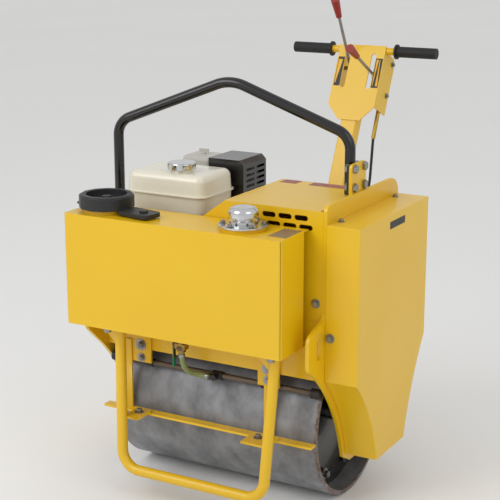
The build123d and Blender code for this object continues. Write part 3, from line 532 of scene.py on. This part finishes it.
# across: width of the hexagon; seats: x, y, z in millimetres and the side that the head looks to
boltGroups = {
    "bracket_bolts_upper": {"across": 17, "seats": [(-207, -222, 385, "front"), (172, -227, 385, "front")]},
    "bracket_bolts_lower": {"across": 13, "seats": [(-206, -222, 350, "front"), (172, -227, 355, "front")]},
    "cover_top_bolts": {"across": 10, "seats": [(336, y, 765, "up") for y in (-163, 163)]},
    "cover_edge_bolts": {"across": 13, "seats": [(337, -217, 488, "front"), (337, 210, 488, "rear")]},
    "hood_bolts": {"across": 13, "seats": [(296, -214, 569, "front")]},
    "shelf_bolts": {"across": 17, "seats": [(x, -322, 455, "down") for x in (-240, 232)]},
    "tab_bolts": {"across": 13, "seats": [(x, -262, 214, "up") for x in (-190, 165)]},
    "tab_nuts": {"across": 13, "seats": [(x, -262, 208, "down") for x in (-190, 165)]},
    "head_flange_bolts": {
        "across": 10, "seats": [(75, 55, z, "right") for z in (700, 602)], "place": onHandle,
    },
    "head_flange_bolts_left": {
        "across": 10, "seats": [(-75, 55, z, "left") for z in (700, 602)], "place": onHandle,
    },
    "breather_screws": {
        "across": 10,
        "seats": [
            (breatherMiddle[0] + x, breatherMiddle[1] + y, breatherTop, "up") for x, y in ring(6, 50, 20)
        ],
    },
    "disc_bolts_right": {
        "across": 17, "seats": [(discFace, y, z, "right") for y, z in discRing], "body": "drum",
    },
    "disc_bolts_left": {
        "across": 17, "seats": [(-discFace, y, z, "left") for y, z in discRing], "body": "drum",
    },
    "axle_bolts_right": {"across": 17, "seats": [(plateFaceRight, y, z, "right") for y, z in axleRing]},
    "axle_bolts_left": {"across": 17, "seats": [(plateFaceLeft, y, z, "left") for y, z in axleRing]},
    "engine_foot_bolts": {
        "across": 13, "seats": [(x, y, 559, "up") for x in (-188, -92) for y in (-150, 4)],
    },
}
boltMasters = {across: modelBolt(across * mm) for across in (10, 13, 17)}


# one piece for each group, every bolt a copy of its master
def placeBolts(name, group):
    parts = []
    for x, y, z, side in group["seats"]:
        bolt = bpy.data.objects.new(name, boltMasters[group["across"]].data.copy())
        bpy.context.scene.collection.objects.link(bolt)
        turn = Vector(towards[side]).to_track_quat("Z", "Y").to_matrix().to_4x4()
        seat = Matrix.Translation(Vector((x, y, z)) * mm)
        bolt.data.transform(group.get("place", Matrix()) @ seat @ turn)
        parts.append(bolt)
    return finishPiece(joinPieces(parts), name, group.get("body", "chassis"), "lever_steel")


for name, group in boltGroups.items():
    placeBolts(name, group)
for master in boltMasters.values():
    bpy.data.objects.remove(master)
print("bolts placed")

filmGrain = {"grain": 0.02, "grainSize": 3 * mm, "patchSize": 20 * mm, "roughness": 0.35}
fittingGrain = {"roughness": 0.3, "grain": 0.05, "grainSize": 2 * mm, "patchSize": 20 * mm}
fittingLooks = {
    # printed vinyl films: thin and satin on the enamel
    "black": filmGrain | {"name": "black_vinyl_film", "colour": "#17140F", "second": "#1D1913"},
    "yellow": filmGrain | {"name": "yellow_vinyl_film", "colour": "#EDB500", "second": "#E5AC00"},
    # faded by the sun, so a little duller
    "red": filmGrain | {
        "name": "faded_red_vinyl_film", "colour": "#A2584E", "second": "#965048", "roughness": 0.4,
    },
    # a blank rolled aluminium plate; its grey-brown colour is partly the metal's own and partly a painted
    # reflection
    "plate": {
        "name": "aluminium_plate_painted_reflection", "colour": "#A58D6C", "second": "#8F7A60", "metal": 0.5,
        "roughness": 0.4, "grain": 0.05, "grainSize": 2 * mm, "patchSize": 10 * mm,
    },
    # dipped vinyl sleeve: smooth, with a soft shine
    "green": fittingGrain | {"name": "green_dipped_vinyl", "colour": "#0E8A55", "second": "#0A7A4A"},
    # sprayed teal enamel on a drawn steel can
    "teal": {
        "name": "teal_canister_enamel", "colour": "#2E7F94", "second": "#277284",
        "roughness": 0.3, "grain": 0.03, "grainSize": 3 * mm, "patchSize": 30 * mm,
    },
}
fittingFinishes = {colour: patchyFinish(look["name"], look) for colour, look in fittingLooks.items()}

# the films on the handle's head lie on its front plate, with their marks on top of them
headPlateFace, filmThickness = -15, 0.3
filmFace = headPlateFace - filmThickness
markFace = filmFace - filmThickness
pointShare = 0.2
labels = {
    "travel_scale_film": {
        "low": (-71, filmFace, 603), "high": (-51, headPlateFace, 694), "film": "black", "place": onHandle,
    },
    "travel_scale_mark": {
        "low": (-69, markFace, 612), "high": (-56, filmFace, 686), "film": "yellow", "place": onHandle,
        "point": "foot",
    },
    "throttle_scale_film": {
        "low": (51, filmFace, 603), "high": (73, headPlateFace, 694), "film": "black", "place": onHandle,
    },
    "throttle_scale_mark_rise": {
        "low": (54, markFace, 608), "high": (61, filmFace, 690), "film": "yellow", "place": onHandle,
        "point": "foot",
    },
    "throttle_scale_mark_fall": {
        "low": (64, markFace, 608), "high": (71, filmFace, 690), "film": "yellow", "place": onHandle,
        "point": "top",
    },
    "cover_plate_film": {"low": (410, -40, 728.5), "high": (410.4, 53, 747), "film": "black"},
    "hood_film_left": {"low": (56, 50, 796), "high": (104, 88, 796.4), "film": "red"},
    "hood_film_right": {"low": (140, 50, 796), "high": (262, 88, 796.4), "film": "red"},
    # the rating plate's grey-brown finish carries a painted reflection
    "tank_rating_plate": {"low": (223, -325, 751), "high": (271, -241, 751.6), "film": "plate"},
}


# draws the foot or the top of a film in towards its left edge
def tapered(film, look):
    middle = (look["low"][2] + look["high"][2]) / 2 * mm
    pointAtFoot = look["point"] == "foot"
    chosen = [(vertex.co.z < middle) == pointAtFoot for vertex in film.data.vertices]
    makeActive(film)
    bpy.ops.object.mode_set(mode="EDIT")
    bpy.ops.mesh.select_all(action="DESELECT")
    bpy.ops.object.mode_set(mode="OBJECT")
    for vertex, choice in zip(film.data.vertices, chosen):
        vertex.select = choice
    bpy.ops.object.mode_set(mode="EDIT")
    bpy.ops.transform.resize(value=(pointShare, 1, 1), center_override=(look["low"][0] * mm, 0, 0))
    bpy.ops.object.mode_set(mode="OBJECT")


for name, look in labels.items():
    film = slab([value * mm for value in look["low"]], [value * mm for value in look["high"]])
    if "point" in look:
        tapered(film, look)
    film.data.transform(look.get("place", Matrix()))
    finishPiece(film, name, "chassis", "black_plastic", fittingFinishes[look["film"]])
print("blank labels placed")

sideways = (0, math.radians(90), 0)
# heights and reaches are from the middle of the valve's foot
ballValve = {
    "foot": (-50, -272, 407), "radius": 10.5, "height": 56, "sides": 24,
    "nuts": ((10, 15), (30, 17), (44, 15)), "nutHeight": 9, "nutEdge": 1,
    "spindleHeight": 18, "spindleRadius": 6, "spindleLength": 18, "spindleReach": 14,
    "spindleNutRadius": 9, "spindleNutLength": 5, "spindleNutReach": 20,
    "leverInner": -21, "leverOuter": -24, "leverHalfWidth": 6, "leverTop": 22, "leverDrop": 44,
    "leverEdge": 1.2,
}


# a place given in millimetres from the valve's foot
def onValve(x, y, z):
    return tuple(start * mm + reach * mm for start, reach in zip(ballValve["foot"], (x, y, z)))


# hexagon bodies on a round tube, and the spindle that carries the lever
def modelValve(look):
    height = look["height"]
    parts = [cylinder(look["radius"] * mm, height * mm, onValve(0, 0, height / 2), look["sides"])]
    for rise, radius in look["nuts"]:
        nut = cylinder(radius * mm, look["nutHeight"] * mm, onValve(0, 0, rise), 6)
        parts.append(bevelled(nut, look["nutEdge"] * mm))
    spindle = onValve(-look["spindleReach"], 0, look["spindleHeight"])
    parts.append(cylinder(look["spindleRadius"] * mm, look["spindleLength"] * mm, spindle, 16, sideways))
    spindleNut = onValve(-look["spindleNutReach"], 0, look["spindleHeight"])
    parts.append(
        cylinder(look["spindleNutRadius"] * mm, look["spindleNutLength"] * mm, spindleNut, 6, sideways)
    )
    return joinPieces(parts)


valve = modelValve(ballValve)
flattenFaces(valve)
finishPiece(valve, "ball_valve", "chassis", "pipe_steel")
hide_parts("drain_valve")

# flat bar lever with a green dipped sleeve, hanging from the spindle
lever = slab(
    onValve(ballValve["leverOuter"], -ballValve["leverHalfWidth"], -ballValve["leverDrop"]),
    onValve(ballValve["leverInner"], ballValve["leverHalfWidth"], ballValve["leverTop"]),
)
lever = bevelled(lever, ballValve["leverEdge"] * mm)
finishPiece(lever, "valve_lever", "chassis", "hose_plastic", fittingFinishes["green"])

# worm-drive clips where the hose is pushed on, below the valve and at the pipe
hoseClips = {
    "radius": 9, "width": 9, "edge": 0.6, "sides": 24,
    "seats": (((-50, -272, 396), (0, 0, 0)), ((-4, -223, 334), sideways)),
}
clips = [
    cylinder(hoseClips["radius"] * mm, hoseClips["width"] * mm, Vector(middle) * mm, hoseClips["sides"], turn)
    for middle, turn in hoseClips["seats"]
]
clip = bevelled(joinPieces(clips), hoseClips["edge"] * mm)
flattenFaces(clip)
finishPiece(clip, "hose_clips", "chassis", "lever_steel")

# filter canister behind the hood's window: a round can with an eight-sided boss
filterCanister = {
    "x": 208, "y": -150, "canMiddle": 600, "canRadius": 38, "canHeight": 76, "canSides": 40,
    "bossMiddle": 644, "bossRadius": 30, "bossHeight": 12, "bossSides": 8, "edge": 5, "edgeSteps": 3,
}


def modelCanister(look):
    parts = []
    for name in ("can", "boss"):
        middle = (look["x"] * mm, look["y"] * mm, look[name + "Middle"] * mm)
        radius, height = look[name + "Radius"] * mm, look[name + "Height"] * mm
        parts.append(cylinder(radius, height, middle, look[name + "Sides"]))
    return bevelled(joinPieces(parts), look["edge"] * mm, look["edgeSteps"])


canister = modelCanister(filterCanister)
flattenFaces(canister)
finishPiece(canister, "filter_canister", "chassis", "starter_paint", fittingFinishes["teal"])
print("small fittings placed")

# pale studio floor, matte and very slightly cloudy
studioFloor = {"size": 60, "drop": 0.5 * mm, "pale": "#F4F4F3", "cloudy": "#EFEFEE", "cloudScale": 0.6}
bpy.ops.mesh.primitive_plane_add(size=studioFloor["size"], location=(0, 0, -studioFloor["drop"]))
floor = bpy.context.object
floor.name = "pale_floor"
floorMaterial, floorTree, floorSurface, floorPlace = startMaterial("white_floor")
floorNoise = addNode(
    floorTree, "ShaderNodeTexNoise", {"Scale": studioFloor["cloudScale"]}, {"Vector": floorPlace}
)
floorTint = addNode(
    floorTree,
    "ShaderNodeMix",
    {
        "data_type": "RGBA",
        mixFirst: linearColour(studioFloor["pale"]), mixSecond: linearColour(studioFloor["cloudy"]),
    },
    {mixFactor: floorNoise.outputs["Fac"]},
)
floorTree.links.new(floorTint.outputs[mixColour], floorSurface.inputs["Base Color"])
floorSurface.inputs["Roughness"].default_value = 0.9
floor.data.materials.append(floorMaterial)

# even light from all round, with a soft key from the front left and a weak fill from the right
worldStrength = 0.72
lightTarget = Vector((0, 0, 0.5))
lights = {
    "soft_front": {"place": (-1.6, -3.2, 3.0), "size": 2.5, "power": 60},
    "soft_side": {"place": (3.0, -1.2, 2.6), "size": 2.0, "power": 14},
}
world = bpy.data.worlds.new("studio_white")
bpy.context.scene.world = world
world.use_nodes = True
background = world.node_tree.nodes["Background"]
background.inputs["Color"].default_value = (1, 1, 1, 1)
background.inputs["Strength"].default_value = worldStrength
for name, light in lights.items():
    lamp = bpy.data.lights.new(name, "AREA")
    lamp.size = light["size"]
    lamp.energy = light["power"]
    holder = bpy.data.objects.new(name, lamp)
    holder.location = light["place"]
    holder.rotation_euler = (lightTarget - holder.location).to_track_quat("-Z", "Y").to_euler()
    bpy.context.scene.collection.objects.link(holder)

# camera fitted to the photograph
photoCamera = {"place": (1.6182, -2.9036, 1.4759), "tilt": 75.5, "turn": 29.2, "lens": 93.64, "sensor": 36}
cameraData = bpy.data.cameras.new("photo_camera")
cameraData.sensor_width = photoCamera["sensor"]
cameraData.lens = photoCamera["lens"]
camera = bpy.data.objects.new("photo_camera", cameraData)
camera.location = photoCamera["place"]
camera.rotation_euler = (math.radians(photoCamera["tilt"]), 0, math.radians(photoCamera["turn"]))
bpy.context.scene.collection.objects.link(camera)
bpy.context.scene.camera = camera
bpy.context.scene.view_settings.view_transform = "Standard"
print("floor, lights and camera placed")
